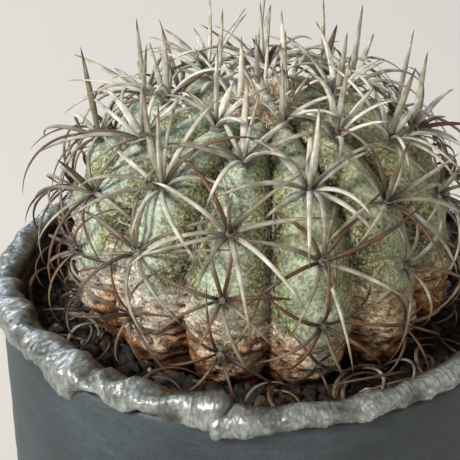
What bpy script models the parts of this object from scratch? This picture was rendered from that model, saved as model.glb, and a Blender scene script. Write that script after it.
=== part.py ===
"""Potted round cactus: a ribbed stem with clusters of spines, in grit and soil, in a straight clay pot
with a thick, hand-laid rim coil. Metres, +Z up.
The origin is under the middle of the pot, where it stands.
Azimuth is measured round +Z from the front (-Y) towards +X."""

import math
import random

import bmesh
import bpy
from mathutils import Matrix, Vector

MM = 0.001

# Pot
POT_RADIUS = 69.0 * MM
POT_FOOT_RADIUS = 66.0 * MM
POT_WALL = 5.5 * MM
POT_HEIGHT = 96 * MM
POT_EDGE = 1.5 * MM
FLOOR_TOP = 10 * MM
FOOT_RECESS = 2.5 * MM
FOOT_WIDTH = 7 * MM
FLOOR_FILLET = 4 * MM
DRAIN_RADIUS = 7 * MM
POT_SEGMENTS = 40

# Rim coil, luted on top of the pot's wall
RIM_RADIUS = 66.6 * MM
RIM_HALF_WIDTH = 3.7 * MM
RIM_HALF_HEIGHT = 2.6 * MM
RIM_SEGMENTS = 72
RIM_SIDES = 8
RIM_SEAM = math.radians(-9)
RIM_STEP_UP = 2.2 * MM
RIM_STEP_UP_LENGTH = math.radians(22)
# Uneven thickness of a hand-rolled coil: waves round the pot, share of the thickness, phase
RIM_WAVES = ((1, 0.14, 0.87), (7, 0.06, 0.6), (12, 0.05, 2.1))

# Stem
BODY_RADIUS = 50 * MM
BODY_RISE = 40 * MM
BODY_DROP = 30 * MM
BODY_POWER = 2.4
BODY_CENTRE_Z = 110 * MM
BODY_LEAN = math.radians(2)
RIB_COUNT = 13
RIB_TURN = math.radians(-11.9)
VALLEY_DEPTH = 0.17
VALLEY_SHARPNESS = 1.6
# Angles above the horizon at which the ribs fade out at the crown, and where the base is buried
CROWN_FADE = (math.radians(86), math.radians(48))
BASE_FADE = (math.radians(-24), math.radians(-6))
DIP_SPAN = (math.radians(62), math.radians(88))
CROWN_DIP = 3 * MM
WOOL_RADIUS = 8 * MM
WOOL_LIFT = 0.9 * MM
WOOL_EDGE = 0.8 * MM
WOOL_RISE = 3.2 * MM
POINTS_PER_RIB = 5
ROOT_RADIUS = 7 * MM
ROOT_LENGTH = 26 * MM

# Growing medium
SOIL_TOP = 86.5 * MM
GRIT_TOP = 90 * MM
GRIT_RIPPLE = 0.7 * MM
MESH_CELL = 3.2 * MM
MESH_CELLS = 9
MESH_THICKNESS = 1.0 * MM

# Spine clusters, four to a rib
AREOLES_PER_RIB = 4
AREOLE_STEP_PER_RIB = 5 / 13
CROWDED_PHASE = 0.35
# Degrees down from the crown: areoles stand closer together at the crown than lower on the stem
AREOLE_START = 105.8
AREOLE_STEP = 24.7
AREOLE_CURVE = 2.5
AREOLE_CURVE_AGE = 3
AREOLE_HIGHEST = 86
OLD_AGE = 3.2
RADIAL_COUNT = 7
PAD_RADIUS = 1.5 * MM
PAD_HEIGHT = 1.5 * MM
PAD_LIFT = 0.42 * MM
PAD_TAPER = 0.85
CENTRAL_ROOT = 1.95 * MM
RADIAL_RADIUS = 0.5 * MM
RADIAL_LENGTH = 21 * MM
CENTRAL_RADIUS = 1.0 * MM
CENTRAL_LENGTH = 25.5 * MM
YOUNG_LENGTH = 0.72
YOUNG_SPAN = (1.3, 2.2)
OLD_LENGTH = 0.55
RADIAL_SHARES = (1, 0.85, 0.7, 0.55, 0.4)
# Degrees above the skin at which a radial spine leaves, and its curve back down, in order of trying
RADIAL_CURVES = ((30, 62), (42, 80), (20, 62), (54, 80), (10, 62), (66, 80))
CENTRAL_TRIES = 20
SKIN_CLEARANCE = 1.1 * MM
WOOL_CLEARANCE = 1.5 * MM
GRIT_CLEARANCE = 4 * MM
RIM_CLEAR_RADIUS = 57.4 * MM
RIM_CLEAR_Z = 110 * MM
REACH = 62 * MM
SPINE_GAP = 0.3 * MM
SEED = 7

GAP = 0.3 * MM


def material(name, colour, roughness, metallic=0.0):
    made = bpy.data.materials.new(name)
    made.use_nodes = True
    shader = made.node_tree.nodes["Principled BSDF"]
    shader.inputs["Base Color"].default_value = (*colour, 1)
    shader.inputs["Roughness"].default_value = roughness
    shader.inputs["Metallic"].default_value = metallic
    return made


def finish_object(name, bm, finish, sharp_degrees=40):
    """Makes the bmesh an object, shaded smooth up to sharp_degrees."""
    bmesh.ops.recalc_face_normals(bm, faces=bm.faces)
    mesh = bpy.data.meshes.new(name)
    bm.to_mesh(mesh)
    bm.free()
    mesh.shade_smooth()
    mesh.set_sharp_from_angle(angle=math.radians(sharp_degrees))
    mesh.materials.append(finish)
    made = bpy.data.objects.new(name, mesh)
    bpy.context.scene.collection.objects.link(made)
    return made


def bridge(bm, first, second, wrap):
    """Faces between two rows of vertices; a row of one vertex is a pole."""
    count = max(len(first), len(second))
    for i in range(count if wrap else count - 1):
        j = (i + 1) % count
        corners = [
            first[min(i, len(first) - 1)],
            first[j] if len(first) > 1 else first[0],
            second[j] if len(second) > 1 else second[0],
            second[min(i, len(second) - 1)],
        ]
        unique = list(dict.fromkeys(corners))
        bm.faces.new(unique)


def loft(name, sections, finish, ring=False, sharp_degrees=40):
    """A closed skin over closed sections, in order; ring joins the last section to the first."""
    bm = bmesh.new()
    rows = [[bm.verts.new(point) for point in section] for section in sections]
    for first, second in zip(rows, rows[1:]):
        bridge(bm, first, second, wrap=True)
    if ring:
        bridge(bm, rows[-1], rows[0], wrap=True)
    return finish_object(name, bm, finish, sharp_degrees)


def around(azimuth, radius, z):
    return Vector((radius * math.sin(azimuth), -radius * math.cos(azimuth), z))


def turned_ring(name, profile, segments, finish, sharp_degrees=40):
    """Turns a closed outline, clear of the axis, into a ring."""
    azimuths = [math.tau * i / segments for i in range(segments)]
    sections = [[around(azimuth, r, z) for r, z in profile] for azimuth in azimuths]
    return loft(name, sections, finish, ring=True, sharp_degrees=sharp_degrees)


def turned_solid(name, profile, segments, finish, sharp_degrees=40):
    """Turns an outline that starts and ends on the axis."""
    sections = []
    for r, z in profile:
        count = segments if r > 0 else 1
        sections.append([around(math.tau * i / segments, r, z) for i in range(count)])
    return loft(name, sections, finish, sharp_degrees=sharp_degrees)


# ---- Pot, rim and what fills them


def inner_radius(z):
    """The pot wall's inner radius at a height."""
    share = z / POT_HEIGHT
    return POT_FOOT_RADIUS + (POT_RADIUS - POT_FOOT_RADIUS) * share - POT_WALL


def make_pot(clay):
    """Straight pot with a foot ring, a recessed base and a drain hole."""
    outline = [
        (POT_FOOT_RADIUS - POT_EDGE, 0),
        (POT_FOOT_RADIUS, POT_EDGE),
        (POT_RADIUS, POT_HEIGHT - POT_EDGE),
        (POT_RADIUS - POT_EDGE, POT_HEIGHT),
        (inner_radius(POT_HEIGHT) + POT_EDGE, POT_HEIGHT),
        (inner_radius(POT_HEIGHT), POT_HEIGHT - POT_EDGE),
        (inner_radius(FLOOR_TOP), FLOOR_TOP + FLOOR_FILLET),
        (inner_radius(FLOOR_TOP) - FLOOR_FILLET, FLOOR_TOP),
        (DRAIN_RADIUS, FLOOR_TOP),
        (DRAIN_RADIUS, FOOT_RECESS),
        (POT_FOOT_RADIUS - FOOT_WIDTH, FOOT_RECESS),
        (POT_FOOT_RADIUS - FOOT_WIDTH, 0),
    ]
    return turned_ring("pot", outline, POT_SEGMENTS, clay, sharp_degrees=30)


def rim_lift(azimuth):
    """How far the coil rides up towards its end, which laps over its start at the seam."""
    before = (RIM_SEAM - azimuth) % math.tau
    return RIM_STEP_UP * math.exp(-before / RIM_STEP_UP_LENGTH)


def rim_swell(azimuth):
    return 1 + sum(share * math.cos(waves * azimuth + phase) for waves, share, phase in RIM_WAVES)


def make_rim(glaze):
    """The thick coil of clay laid round the pot's mouth."""
    sections = []
    for i in range(RIM_SEGMENTS):
        azimuth = math.tau * i / RIM_SEGMENTS
        swell = rim_swell(azimuth)
        low = POT_HEIGHT + GAP
        middle = low + RIM_HALF_HEIGHT * swell + rim_lift(azimuth)
        section = []
        for k in range(RIM_SIDES):
            turn = math.tau * (k + 0.5) / RIM_SIDES
            r = RIM_RADIUS + RIM_HALF_WIDTH * swell * math.cos(turn)
            z = middle + RIM_HALF_HEIGHT * swell * math.sin(turn)
            underneath = math.sin(turn) < 0 and abs(math.cos(turn)) < 0.5
            section.append(around(azimuth, r, low if underneath else z))
        sections.append(section)
    return loft("rim_coil", sections, glaze, ring=True)


def make_drain_mesh(plastic):
    """Plastic mesh over the drain hole, which keeps the soil in."""
    bm = bmesh.new()
    half = MESH_CELL * MESH_CELLS / 2
    corner = {}
    for i in range(MESH_CELLS + 1):
        for j in range(MESH_CELLS + 1):
            place = (i * MESH_CELL - half, j * MESH_CELL - half, FLOOR_TOP + GAP)
            corner[i, j] = bm.verts.new(place)
    for i in range(MESH_CELLS):
        for j in range(MESH_CELLS):
            if i % 2 and j % 2:
                continue
            bm.faces.new([corner[i, j], corner[i + 1, j], corner[i + 1, j + 1], corner[i, j + 1]])
    lifted = bmesh.ops.extrude_face_region(bm, geom=bm.faces[:])["geom"]
    tops = [item for item in lifted if isinstance(item, bmesh.types.BMVert)]
    bmesh.ops.translate(bm, vec=(0, 0, MESH_THICKNESS), verts=tops)
    return finish_object("drain_mesh", bm, plastic, sharp_degrees=30)


def underside(clearance):
    """The stem's buried outline with a clearance, from the soil's surface in to the root's tip."""
    outline = []
    for degrees in range(-28, -81, -8):
        psi = math.radians(degrees)
        rho = smooth_radius(psi) + clearance
        outline.append((rho * math.cos(psi), BODY_CENTRE_Z + rho * math.sin(psi)))
    neck_z = BODY_CENTRE_Z - BODY_DROP - clearance
    outline.append((ROOT_RADIUS + clearance, neck_z))
    outline.append((ROOT_RADIUS * 0.5 + clearance, neck_z - ROOT_LENGTH * 0.7))
    outline.append((0, neck_z - ROOT_LENGTH - clearance))
    return outline


def make_soil(earth):
    """Potting mix: fills the pot, with a hollow for the stem's buried base and its root."""
    mesh_half = MESH_CELL * MESH_CELLS / 2 * math.sqrt(2) + 1 * MM
    above_mesh = FLOOR_TOP + MESH_THICKNESS + 2 * GAP
    floor = FLOOR_TOP + GAP
    hollow = [(r, z) for r, z in underside(2 * GAP) if z < SOIL_TOP]
    outline = [
        (0, above_mesh),
        (mesh_half, above_mesh),
        (mesh_half, floor),
        (inner_radius(FLOOR_TOP) - 5 * MM, floor),
        (inner_radius(FLOOR_TOP) - 1 * MM, floor + 5 * MM),
        (inner_radius(SOIL_TOP) - GAP, SOIL_TOP),
        (hollow[0][0] + 2.5 * MM, SOIL_TOP),
        *hollow,
    ]
    return turned_solid("soil", outline, POT_SEGMENTS, earth, sharp_degrees=30)


def make_grit(stone):
    """The layer of dark grit round the stem, thicker here and thinner there."""
    edge_psi = math.radians(-22)
    inner = smooth_radius(edge_psi) * math.cos(edge_psi) + 1.2 * MM
    outer = inner_radius(SOIL_TOP) - 2 * GAP
    low = SOIL_TOP + GAP
    sections = []
    for i in range(POT_SEGMENTS):
        azimuth = math.tau * i / POT_SEGMENTS
        ripple = GRIT_RIPPLE * math.cos(5 * azimuth + 1) * math.cos(9 * azimuth)
        top = GRIT_TOP + ripple
        outline = [
            (inner, low),
            (inner, top),
            ((inner + outer) / 2, top + GRIT_RIPPLE),
            (outer, top),
            (outer, low),
        ]
        sections.append([around(azimuth, r, z) for r, z in outline])
    return loft("grit", sections, stone, ring=True)


# ---- Stem


def smooth_radius(psi):
    """Distance from the stem's middle to its skin, before ribs, at an angle above the horizon."""
    half_height = BODY_RISE if psi > 0 else BODY_DROP
    across = (abs(math.cos(psi)) / BODY_RADIUS) ** BODY_POWER
    upward = (abs(math.sin(psi)) / half_height) ** BODY_POWER
    return (across + upward) ** (-1 / BODY_POWER)


def ease(low, high, value):
    share = min(1.0, max(0.0, (value - low) / (high - low)))
    return share * share * (3 - 2 * share)


def body_radius(azimuth, psi):
    """The skin with its ribs, which fade at the crown and where the base is buried."""
    share = (azimuth - RIB_TURN) / math.tau * RIB_COUNT
    valley = abs(math.sin(math.pi * share)) ** VALLEY_SHARPNESS
    fade = ease(*CROWN_FADE, psi) * ease(*BASE_FADE, psi)
    dip = CROWN_DIP * ease(*DIP_SPAN, psi)
    return smooth_radius(psi) * (1 - VALLEY_DEPTH * valley * fade) - dip


def lean():
    """The whole plant leans a little to the right of upright."""
    middle = Matrix.Translation((0, 0, BODY_CENTRE_Z))
    return middle @ Matrix.Rotation(BODY_LEAN, 4, "Y")


def skin_point(azimuth, psi):
    """A point of the skin, in the plant's own upright frame about its middle."""
    rho = body_radius(azimuth, psi)
    return around(azimuth, rho * math.cos(psi), rho * math.sin(psi))


def make_body(skin):
    """The ribbed stem, with the neck and the root that it grew in one piece."""
    count = RIB_COUNT * POINTS_PER_RIB
    azimuths = [RIB_TURN + math.tau * i / count for i in range(count)]
    upright = lean()
    sections = [[upright @ skin_point(0, math.pi / 2)]]
    for degrees in (80, 72, 63, 54, 45, 36, 27, 18, 9, 0, -8, -16):
        psi = math.radians(degrees)
        sections.append([upright @ skin_point(azimuth, psi) for azimuth in azimuths])
    for r, z in underside(0)[:-1]:
        sections.append([around(azimuth, r, z) for azimuth in azimuths])
    sections.append([Vector((0, 0, underside(0)[-1][1]))])
    return loft("cactus_stem", sections, skin)


def make_wool(wool):
    """The pad of young wool in the crown's dip."""
    base = BODY_RISE - CROWN_DIP + WOOL_LIFT
    outline = [(0, base), (WOOL_RADIUS * 0.8, base)]
    for degrees in (0, 35, 65, 90):
        turn = math.radians(degrees)
        r = WOOL_RADIUS * math.cos(turn) if degrees < 90 else 0
        outline.append((r, base + WOOL_EDGE + WOOL_RISE * math.sin(turn)))
    made = turned_solid("crown_wool", outline, 24, wool)
    made.data.transform(lean())
    return made


# ---- Spine clusters


def areole_psi(age):
    """Angle above the horizon of the areole at this many steps down its rib."""
    degrees = AREOLE_START - AREOLE_STEP * age + AREOLE_CURVE * (age - AREOLE_CURVE_AGE) ** 2
    turn = math.radians(min(degrees, AREOLE_HIGHEST))
    power = 2 / BODY_POWER
    r = BODY_RADIUS * math.cos(turn) ** power
    half_height = BODY_RISE if turn > 0 else BODY_DROP
    z = half_height * math.copysign(abs(math.sin(turn)) ** power, turn)
    return math.atan2(z, r)


def areoles():
    """(rib, number from the crown, azimuth, psi, age) of every areole, on a 5-in-13 spiral."""
    for rib in range(RIB_COUNT):
        phase = (rib * AREOLE_STEP_PER_RIB) % 1
        first = 1 if phase > CROWDED_PHASE else 2
        for number in range(AREOLES_PER_RIB):
            age = first + phase + number
            azimuth = RIB_TURN + math.tau * rib / RIB_COUNT
            yield rib, number, azimuth, areole_psi(age), age


def areole_frame(azimuth, psi):
    """(place, outward, towards the crown, sideways) at a rib's crest, in the plant's frame."""
    step = math.radians(2)
    above, below = skin_point(azimuth, psi + step), skin_point(azimuth, psi - step)
    upward = (above - below).normalized()
    side = Vector((math.cos(azimuth), math.sin(azimuth), 0))
    outward = side.cross(upward).normalized()
    if outward.dot(above) < 0:
        outward.negate()
    return skin_point(azimuth, psi), outward, upward, side


def spine_path(start, outward, along, length, rise, fall, pieces):
    """Points of a spine that leaves at angle rise above the skin and curves down by fall."""
    points = [start]
    for i in range(pieces):
        angle = rise - fall * (i + 0.5) / pieces
        heading = along * math.cos(angle) + outward * math.sin(angle)
        points.append(points[-1] + heading * (length / pieces))
    return points


def samples(points, count=24):
    """Evenly spread points along a path, for clearance tests."""
    spread = []
    for i in range(count):
        place = i / (count - 1) * (len(points) - 1)
        k = min(int(place), len(points) - 2)
        spread.append(points[k].lerp(points[k + 1], place - k))
    return spread


def clears_skin(points, margin):
    """Whether the points stay this far off the skin, past the spine's own root."""
    for point in points[3:]:
        psi = math.atan2(point.z, math.hypot(point.x, point.y))
        azimuth = math.atan2(point.x, -point.y)
        if point.length - body_radius(azimuth, psi) < margin:
            return False
    return True


def clears_wool(points):
    """Whether the points stay outside a round space about the crown's wool."""
    top = Vector((0, 0, BODY_RISE))
    return all((point - top).length > WOOL_RADIUS + WOOL_CLEARANCE for point in points)


def clears_pot(points):
    """Whether the points stay above the grit, and above the rim or inside it."""
    for point in points:
        across = math.hypot(point.x, point.y)
        height = point.z + BODY_CENTRE_Z
        if height < GRIT_TOP + GRIT_CLEARANCE:
            return False
        if across > RIM_CLEAR_RADIUS and height < RIM_CLEAR_Z:
            return False
    return True


def clears_spines(points, others, margin):
    """Whether the points stay this far from the spines that start within reach."""
    for other in others:
        if (other[0] - points[0]).length > REACH:
            continue
        for point in points[1:]:
            if any((point - place).length < margin for place in other):
                return False
    return True


def spine_row(bm, path, radius, first_row, sides, twist):
    """Carries a row of vertices along a path to a point, narrowing."""
    row = first_row
    for i in range(1, len(path) - 1):
        heading = (path[i + 1] - path[i - 1]).normalized()
        across = heading.cross(twist).normalized()
        upward = across.cross(heading)
        size = radius * (1 - 0.75 * i / (len(path) - 1))
        next_row = []
        for k in range(sides):
            turn = math.tau * (k + 0.5) / sides
            place = path[i] + across * (size * math.cos(turn)) + upward * (size * math.sin(turn))
            next_row.append(bm.verts.new(place))
        bridge(bm, row, next_row, wrap=True)
        row = next_row
    bridge(bm, row, [bm.verts.new(path[-1])], wrap=True)


def make_cluster(name, place, outward, upward, side, centre_path, radials, finish):
    """One areole: a felt pad, its sides drawn out into radial spines and its top into the central one."""
    bm = bmesh.new()
    step = math.tau / RADIAL_COUNT
    low, high = [], []
    for i in range(RADIAL_COUNT):
        turn = step * (i - 0.5)
        spoke = upward * math.cos(turn) + side * math.sin(turn)
        low.append(bm.verts.new(place + spoke * PAD_RADIUS + outward * PAD_LIFT))
        top = place + spoke * PAD_RADIUS * PAD_TAPER + outward * (PAD_LIFT + PAD_HEIGHT)
        high.append(bm.verts.new(top))
    bm.faces.new(low)
    for i, path in enumerate(radials):
        j = (i + 1) % RADIAL_COUNT
        corners = [high[j], high[i], low[i], low[j]]
        if path is None:
            bm.faces.new(corners)
        else:
            spine_row(bm, path, RADIAL_RADIUS * math.sqrt(2), corners, 4, outward)
    ring = []
    for i in range(RADIAL_COUNT):
        turn = step * (i - 0.5)
        spoke = upward * math.cos(turn) + side * math.sin(turn)
        foot = place + spoke * CENTRAL_RADIUS * 0.8 + outward * (PAD_LIFT + CENTRAL_ROOT)
        ring.append(bm.verts.new(foot))
    bridge(bm, high, ring, wrap=True)
    heading = (centre_path[-1] - centre_path[0]).normalized()
    across = (side - heading * side.dot(heading)).normalized()
    ahead = heading.cross(across)
    if ahead.dot(upward) < 0:
        ahead.negate()
    middle = centre_path[0].lerp(centre_path[-1], 0.45)
    row = []
    for i in range(RADIAL_COUNT):
        turn = step * (i - 0.5)
        spoke = ahead * math.cos(turn) + across * math.sin(turn)
        row.append(bm.verts.new(middle + spoke * CENTRAL_RADIUS))
    bridge(bm, ring, row, wrap=True)
    bridge(bm, row, [bm.verts.new(centre_path[-1])], wrap=True)
    bmesh.ops.transform(bm, matrix=lean(), verts=bm.verts)
    return finish_object(name, bm, finish)


def grow_radial(place, outward, along, others, chance):
    """Tries a few leans and lengths until the spine is clear of the skin and of other clusters."""
    root = place + outward * (PAD_LIFT + PAD_HEIGHT * 0.5) + along * PAD_RADIUS
    full = RADIAL_LENGTH * chance.uniform(0.85, 1.15)
    margin = 2 * RADIAL_RADIUS * 1.2 + SPINE_GAP
    for share in RADIAL_SHARES:
        for rise, fall in RADIAL_CURVES:
            angles = math.radians(rise), math.radians(fall)
            path = spine_path(root, outward, along, full * share, *angles, 3)
            spread = samples(path)
            free = clears_skin(spread, SKIN_CLEARANCE) and clears_wool(spread) and clears_pot(spread)
            if free and clears_spines(spread, others, margin):
                return path, spread
    return None, []


def grow_central(place, outward, age, centrals, chance):
    """A stout straight spine between outward and upright, clear of the central spines before it."""
    old = age > OLD_AGE
    root = place + outward * (PAD_LIFT + CENTRAL_ROOT)
    grown = YOUNG_LENGTH + (1 - YOUNG_LENGTH) * ease(*YOUNG_SPAN, age)
    length = CENTRAL_LENGTH * chance.uniform(0.85, 1.1) * (OLD_LENGTH if old else grown)
    for attempt in range(CENTRAL_TRIES):
        sway = Vector((chance.uniform(-0.2, 0.2), chance.uniform(-0.2, 0.2), 0))
        upright = Vector((0, 0, (0.4 if old else 1.3) + 0.05 * attempt))
        heading = (outward + upright + sway).normalized()
        path = [root, root + heading * length]
        spread = samples(path, 30)
        if clears_pot(spread) and clears_spines(spread, centrals, 2 * CENTRAL_RADIUS * 1.4):
            break
    return path


def make_clusters(finish):
    """Every spine cluster, each grown clear of the ones before it."""
    chance = random.Random(SEED)
    placed = []
    plans = []
    centrals = []
    for rib, number, azimuth, psi, age in areoles():
        place, outward, upward, side = areole_frame(azimuth, psi)
        centre = grow_central(place, outward, age, centrals, chance)
        centrals.append(samples(centre, 30))
        plans.append((rib, number, place, outward, upward, side, centre))
    for index, plan in enumerate(plans):
        rib, number, place, outward, upward, side, centre = plan
        others = [path for k, path in enumerate(centrals) if k != index] + placed
        own, radials = [], []
        for i in range(RADIAL_COUNT):
            turn = math.tau * i / RADIAL_COUNT
            along = upward * math.cos(turn) + side * math.sin(turn)
            path, spread = grow_radial(place, outward, along, others, chance)
            radials.append(path)
            if path:
                own.append(spread)
        placed += own
        name = f"spines_rib{rib + 1:02d}_{number + 1}"
        make_cluster(name, place, outward, upward, side, centre, radials, finish)


def main():
    for item in list(bpy.data.objects):
        bpy.data.objects.remove(item)
    make_pot(material("slate_clay", (0.05, 0.07, 0.08), 0.6))
    make_rim(material("pewter_glaze", (0.35, 0.36, 0.34), 0.35, 0.5))
    make_drain_mesh(material("black_plastic", (0.02, 0.02, 0.02), 0.6))
    make_soil(material("potting_mix", (0.04, 0.03, 0.02), 0.95))
    make_grit(material("lava_grit", (0.03, 0.028, 0.026), 0.9))
    make_body(material("cactus_skin", (0.25, 0.32, 0.24), 0.65))
    make_wool(material("crown_wool", (0.6, 0.4, 0.22), 1.0))
    make_clusters(material("spine", (0.4, 0.36, 0.3), 0.5))


main()
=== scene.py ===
# Potted round cactus. The looks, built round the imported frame.
import math
import random

import bmesh
import bpy
import numpy as np
from mathutils import Matrix, Vector


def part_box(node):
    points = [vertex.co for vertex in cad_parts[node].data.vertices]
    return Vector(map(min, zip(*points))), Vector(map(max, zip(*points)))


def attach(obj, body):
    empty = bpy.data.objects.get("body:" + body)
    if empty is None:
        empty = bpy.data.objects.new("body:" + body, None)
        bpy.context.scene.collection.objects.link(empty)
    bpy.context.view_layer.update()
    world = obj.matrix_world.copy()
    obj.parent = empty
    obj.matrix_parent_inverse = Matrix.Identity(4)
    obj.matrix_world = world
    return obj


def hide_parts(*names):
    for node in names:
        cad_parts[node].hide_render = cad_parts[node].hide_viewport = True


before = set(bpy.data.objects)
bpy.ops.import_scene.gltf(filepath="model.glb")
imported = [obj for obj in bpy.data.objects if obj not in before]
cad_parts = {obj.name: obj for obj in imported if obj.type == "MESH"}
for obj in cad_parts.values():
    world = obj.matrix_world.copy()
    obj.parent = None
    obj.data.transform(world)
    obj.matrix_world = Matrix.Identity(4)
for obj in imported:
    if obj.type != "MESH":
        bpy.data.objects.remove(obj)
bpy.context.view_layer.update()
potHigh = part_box("pot")[1]
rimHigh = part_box("rim_coil")[1]
gritLow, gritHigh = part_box("grit")
woolLow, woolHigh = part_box("crown_wool")
mm = 0.001
hashPrimes, hashMixers = np.array((73856093, 19349663, 83492791)), (2654435761, 2246822519)


# Small helpers

def hexColor(text):
    # an sRGB hex colour as linear RGBA
    parts = [int(text[i:i + 2], 16) / 255 for i in (1, 3, 5)]
    return tuple(c / 12.92 if c <= 0.04045 else ((c + 0.055) / 1.055) ** 2.4 for c in parts) + (1.0,)


def ease(low, high, value):
    # smoothly from 0 at low to 1 at high
    share = np.clip((value - low) / (high - low), 0, 1)
    return share * share * (3 - 2 * share)


def wrapped(angle):
    # the same angle, from minus half a turn to half a turn
    return (angle + math.pi) % math.tau - math.pi


def ringPoints(azimuth, radius, height):
    # points round the pot's axis, with azimuth 0 at the front
    return np.stack([radius * np.sin(azimuth), -radius * np.cos(azimuth), height + 0 * azimuth], -1)


def latticeNoise(points, size, seed):
    # smooth value noise from -1 to 1, with lumps about size across
    place = np.asarray(points) / size + seed * 17.31
    cell = np.floor(place).astype(np.int64)
    part = place - cell
    part = part * part * (3 - 2 * part)
    total = np.zeros(len(place))
    for corner in range(8):
        step = np.array([corner & 1, corner >> 1 & 1, corner >> 2 & 1])
        # each corner's whole numbers are hashed to 32 bits
        spot = (cell + step) * hashPrimes
        mixed = spot[:, 0] ^ spot[:, 1] ^ spot[:, 2] ^ (seed * 971)
        mixed = (mixed * hashMixers[0]) & 0xFFFFFFFF
        mixed = ((mixed ^ (mixed >> 15)) * hashMixers[1]) & 0xFFFFFFFF
        value = (mixed >> 8) / float(1 << 23) - 1
        weight = np.prod(np.where(step == 1, part, 1 - part), axis=1)
        total += value * weight
    return total


def gridMesh(name, rows, topPole=None, bottomPole=None, wrapRows=False, fields=None):
    # a skin over rows of points that each close on themselves, with poles or caps at its ends
    rows = np.asarray(rows, float)
    rowCount, columnCount = rows.shape[:2]
    index = np.arange(rowCount * columnCount).reshape(rowCount, columnCount)
    upper = index if wrapRows else index[:-1]
    lower = np.roll(index, -1, axis=0) if wrapRows else index[1:]
    faces = np.stack([upper, np.roll(upper, -1, 1), np.roll(lower, -1, 1), lower], -1)
    faces = faces.reshape(-1, 4).tolist()
    points = rows.reshape(-1, 3).tolist()
    for pole, row in ((topPole, index[0]), (bottomPole, index[-1])):
        if pole is not None:
            points.append(list(pole))
            faces += [[int(a), int(b), len(points) - 1] for a, b in zip(row, np.roll(row, -1))]
    mesh = bpy.data.meshes.new(name)
    mesh.from_pydata(points, [], faces)
    for field, values in (fields or {}).items():
        padded = np.append(np.asarray(values, float).ravel(), [float(np.ravel(values)[-1])] * 2)
        attribute = mesh.attributes.new(field, "FLOAT", "POINT")
        attribute.data.foreach_set("value", padded[:len(points)].astype(np.float32))
    shell = bmesh.new()
    shell.from_mesh(mesh)
    bmesh.ops.recalc_face_normals(shell, faces=shell.faces)
    shell.to_mesh(mesh)
    shell.free()
    mesh.shade_smooth()
    return addPiece(name, mesh)


def addPiece(name, mesh):
    piece = bpy.data.objects.new(name, mesh)
    bpy.context.scene.collection.objects.link(piece)
    return piece


def dress(piece, finish, slot, *nodes):
    # gives a piece its material, if it has none yet, and its place in the frame
    if finish and not piece.data.materials:
        piece.data.materials.append(finish)
    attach(piece, "root")
    if nodes:
        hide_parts(*nodes)


def setUp(tree, node, settings):
    # a node's properties, colour stops and inputs; an input takes a value, a socket or a node, and a node
    # stands for its first output in use
    for key, value in settings.items():
        if isinstance(value, bpy.types.Node):
            value = next(output for output in value.outputs if output.enabled)
        if isinstance(value, bpy.types.NodeSocket):
            tree.links.new(value, node.inputs[key])
        elif key == "stops":
            setStops(node.color_ramp, value)
        elif isinstance(key, str) and hasattr(node, key):
            setattr(node, key, value)
        else:
            node.inputs[key].default_value = value


# the settings of a node that mixes two colours, and of one that multiplies them
mixing = {"data_type": "RGBA"}
multiplying = {"data_type": "RGBA", "blend_type": "MULTIPLY"}


def setStops(ramp, stops):
    # a colour ramp's stops, from pairs of place and hex colour
    while len(ramp.elements) > 1:
        ramp.elements.remove(ramp.elements[-1])
    ramp.elements[0].position, ramp.elements[0].color = stops[0][0], hexColor(stops[0][1])
    for place, colour in stops[1:]:
        ramp.elements.new(place).color = hexColor(colour)


def addNode(tree, kind, settings=None):
    node = tree.nodes.new(kind)
    setUp(tree, node, settings or {})
    return node


def newMaterial(name):
    # a material, its tree, its shader and the object coordinates that its patterns read
    finish = bpy.data.materials.new(name)
    finish.use_nodes = True
    tree = finish.node_tree
    place = addNode(tree, "ShaderNodeTexCoord").outputs["Object"]
    return finish, tree, tree.nodes["Principled BSDF"], place


def newTree(name, inputs):
    # a geometry tree with its geometry and these other inputs, and the sockets that give them
    tree = bpy.data.node_groups.new(name, "GeometryNodeTree")
    tree.interface.new_socket("Geometry", in_out="INPUT", socket_type="NodeSocketGeometry")
    for key, kind in inputs.items():
        tree.interface.new_socket(key, in_out="INPUT", socket_type="NodeSocket" + kind)
    tree.interface.new_socket("Geometry", in_out="OUTPUT", socket_type="NodeSocketGeometry")
    return tree, addNode(tree, "NodeGroupInput").outputs


def endTree(tree, geometry, finish):
    # real meshes with their material come out
    real = addNode(tree, "GeometryNodeRealizeInstances", {"Geometry": geometry})
    coated = addNode(tree, "GeometryNodeSetMaterial", {"Material": finish, "Geometry": real})
    addNode(tree, "NodeGroupOutput", {"Geometry": coated})
    return tree


def runTree(name, source, tree, values):
    # the tree's result on source, as a plain mesh in a piece of its own
    modifier = source.modifiers.new("made", "NODES")
    modifier.node_group = tree
    for item in tree.interface.items_tree:
        if item.in_out == "INPUT" and item.name in values:
            modifier[item.identifier] = values[item.name]
    bpy.context.view_layer.update()
    graph = bpy.context.evaluated_depsgraph_get()
    mesh = bpy.data.meshes.new_from_object(source.evaluated_get(graph))
    source.modifiers.remove(modifier)
    bpy.data.objects.remove(source)
    mesh.name = name
    return addPiece(name, mesh)


def scatter(tree, entry, count, chosen):
    # about this many points, spread evenly over the faces that are chosen
    faceArea = addNode(tree, "GeometryNodeInputMeshFaceArea")
    area = addNode(tree, "GeometryNodeAttributeStatistic",
                   {"domain": "FACE", "Geometry": entry["Geometry"], "Attribute": faceArea, **chosen})
    density = addNode(tree, "ShaderNodeMath", {"operation": "DIVIDE", 0: count, 1: area.outputs["Sum"]})
    return addNode(tree, "GeometryNodeDistributePointsOnFaces",
                   {"Mesh": entry["Geometry"], "Density": density, "Seed": entry["Seed"], **chosen})


# Camera and light

cameraLook = {
    "distance": 0.5095, "elevation": 28.06, "lens": 151.6, "aimRight": -0.00816, "aimUp": 0.00205,
}


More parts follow.
